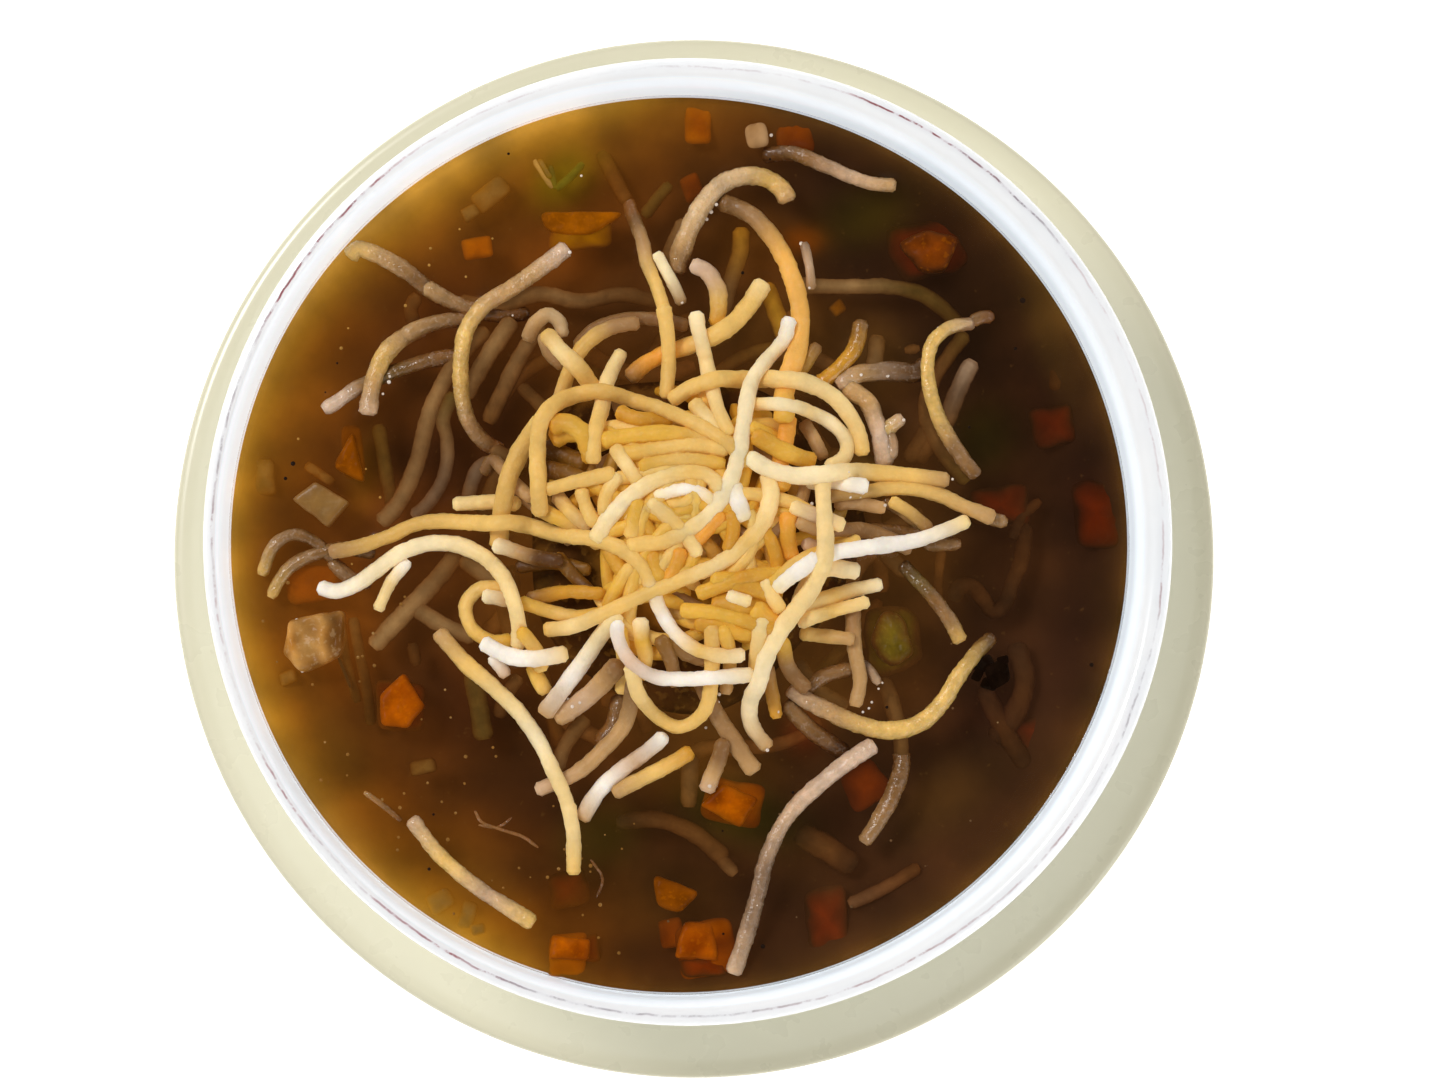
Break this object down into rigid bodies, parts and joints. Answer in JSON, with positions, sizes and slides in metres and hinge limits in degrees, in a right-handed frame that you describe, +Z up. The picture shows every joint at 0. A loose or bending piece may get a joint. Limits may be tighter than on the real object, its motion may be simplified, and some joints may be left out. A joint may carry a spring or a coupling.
{
  "type": "bowl of noodle soup",
  "caption": "White ceramic bowl on a cream saucer, filled with dark brown vegetable soup under a tangled mound of fried noodles.",
  "frame": {"origin": "centre of the saucer's foot, on the surface it stands on", "axes": "+Z up, +X to the right and +Y away from the diner"},
  "size_m": [0.1508, 0.1508, 0.0707],
  "materials": {
    "saucer_glaze": "glossy cream glaze",
    "bowl_glaze": "glossy white glaze, worn reddish at the lip",
    "soup": "dark brown, clear and glossy, amber at the edge",
    "fried_noodle": "golden, fried, slightly blistered",
    "soaked_noodle": "tan, wet",
    "carrot": "orange, wet",
    "green_bean": "olive green, wet",
    "chicken": "pale tan shred, wet",
    "cabbage": "translucent tan, wet",
    "mushroom": "black, wet"
  },
  "bodies": {
    "root": {"saucer": "saucer_glaze", "bowl": "bowl_glaze", "soup": "soup", "noodle_heap": "fried_noodle", "noodle_upper_left": "soaked_noodle", "noodle_wall_left": "soaked_noodle", "noodle_left": "soaked_noodle", "noodle_top_arc": "soaked_noodle", "noodle_top": "soaked_noodle", "noodle_right_arc": "soaked_noodle", "noodle_right": "soaked_noodle", "noodle_lower_right": "soaked_noodle", "noodle_bottom": "soaked_noodle", "noodle_bottom_short": "soaked_noodle", "noodle_lower_left": "soaked_noodle", "carrot_1": "carrot", "carrot_2": "carrot", "carrot_3": "carrot", "carrot_4": "carrot", "carrot_5": "carrot", "carrot_6": "carrot", "carrot_7": "carrot", "carrot_8": "carrot", "green_bean_1": "green_bean", "chicken_1": "chicken", "cabbage_1": "cabbage", "mushroom_1": "mushroom"}
  },
  "joints": []
}
